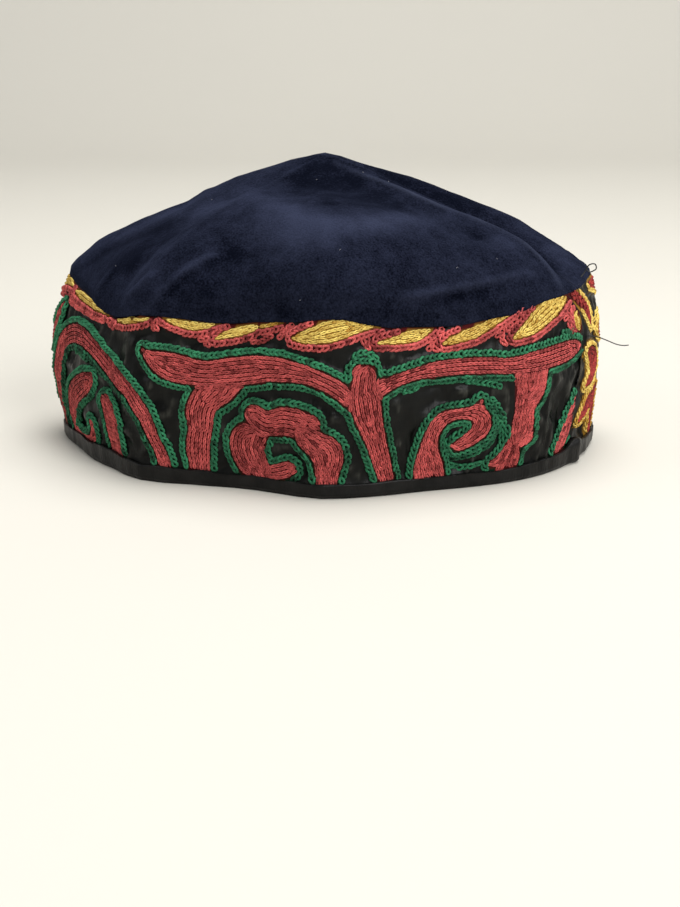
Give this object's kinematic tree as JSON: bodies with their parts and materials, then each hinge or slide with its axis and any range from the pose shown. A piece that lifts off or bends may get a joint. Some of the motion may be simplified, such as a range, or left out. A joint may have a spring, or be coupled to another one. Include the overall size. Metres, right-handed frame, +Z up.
{
  "type": "embroidered skullcap",
  "caption": "Soft skullcap that stands on its bound rim: pointed navy velvet crown on an upright black band of scroll and leaf chain-stitch embroidery.",
  "frame": {"origin": "on the floor under the middle of the cap's box", "axes": "+X to the corner with the grooved seam, the longest way across; -Y to the pink and green front strip; +Z up to the point of the crown"},
  "size_m": [0.206, 0.1626, 0.107],
  "materials": {
    "velvet": "navy cotton velvet",
    "band": "black satin, embroidered in wool chain stitch",
    "binding": "black satin tape"
  },
  "bodies": {
    "root": {"crown_front": "velvet", "crown_back": "velvet", "band_front": "band", "band_back": "band", "rim_binding": "binding"}
  },
  "joints": []
}
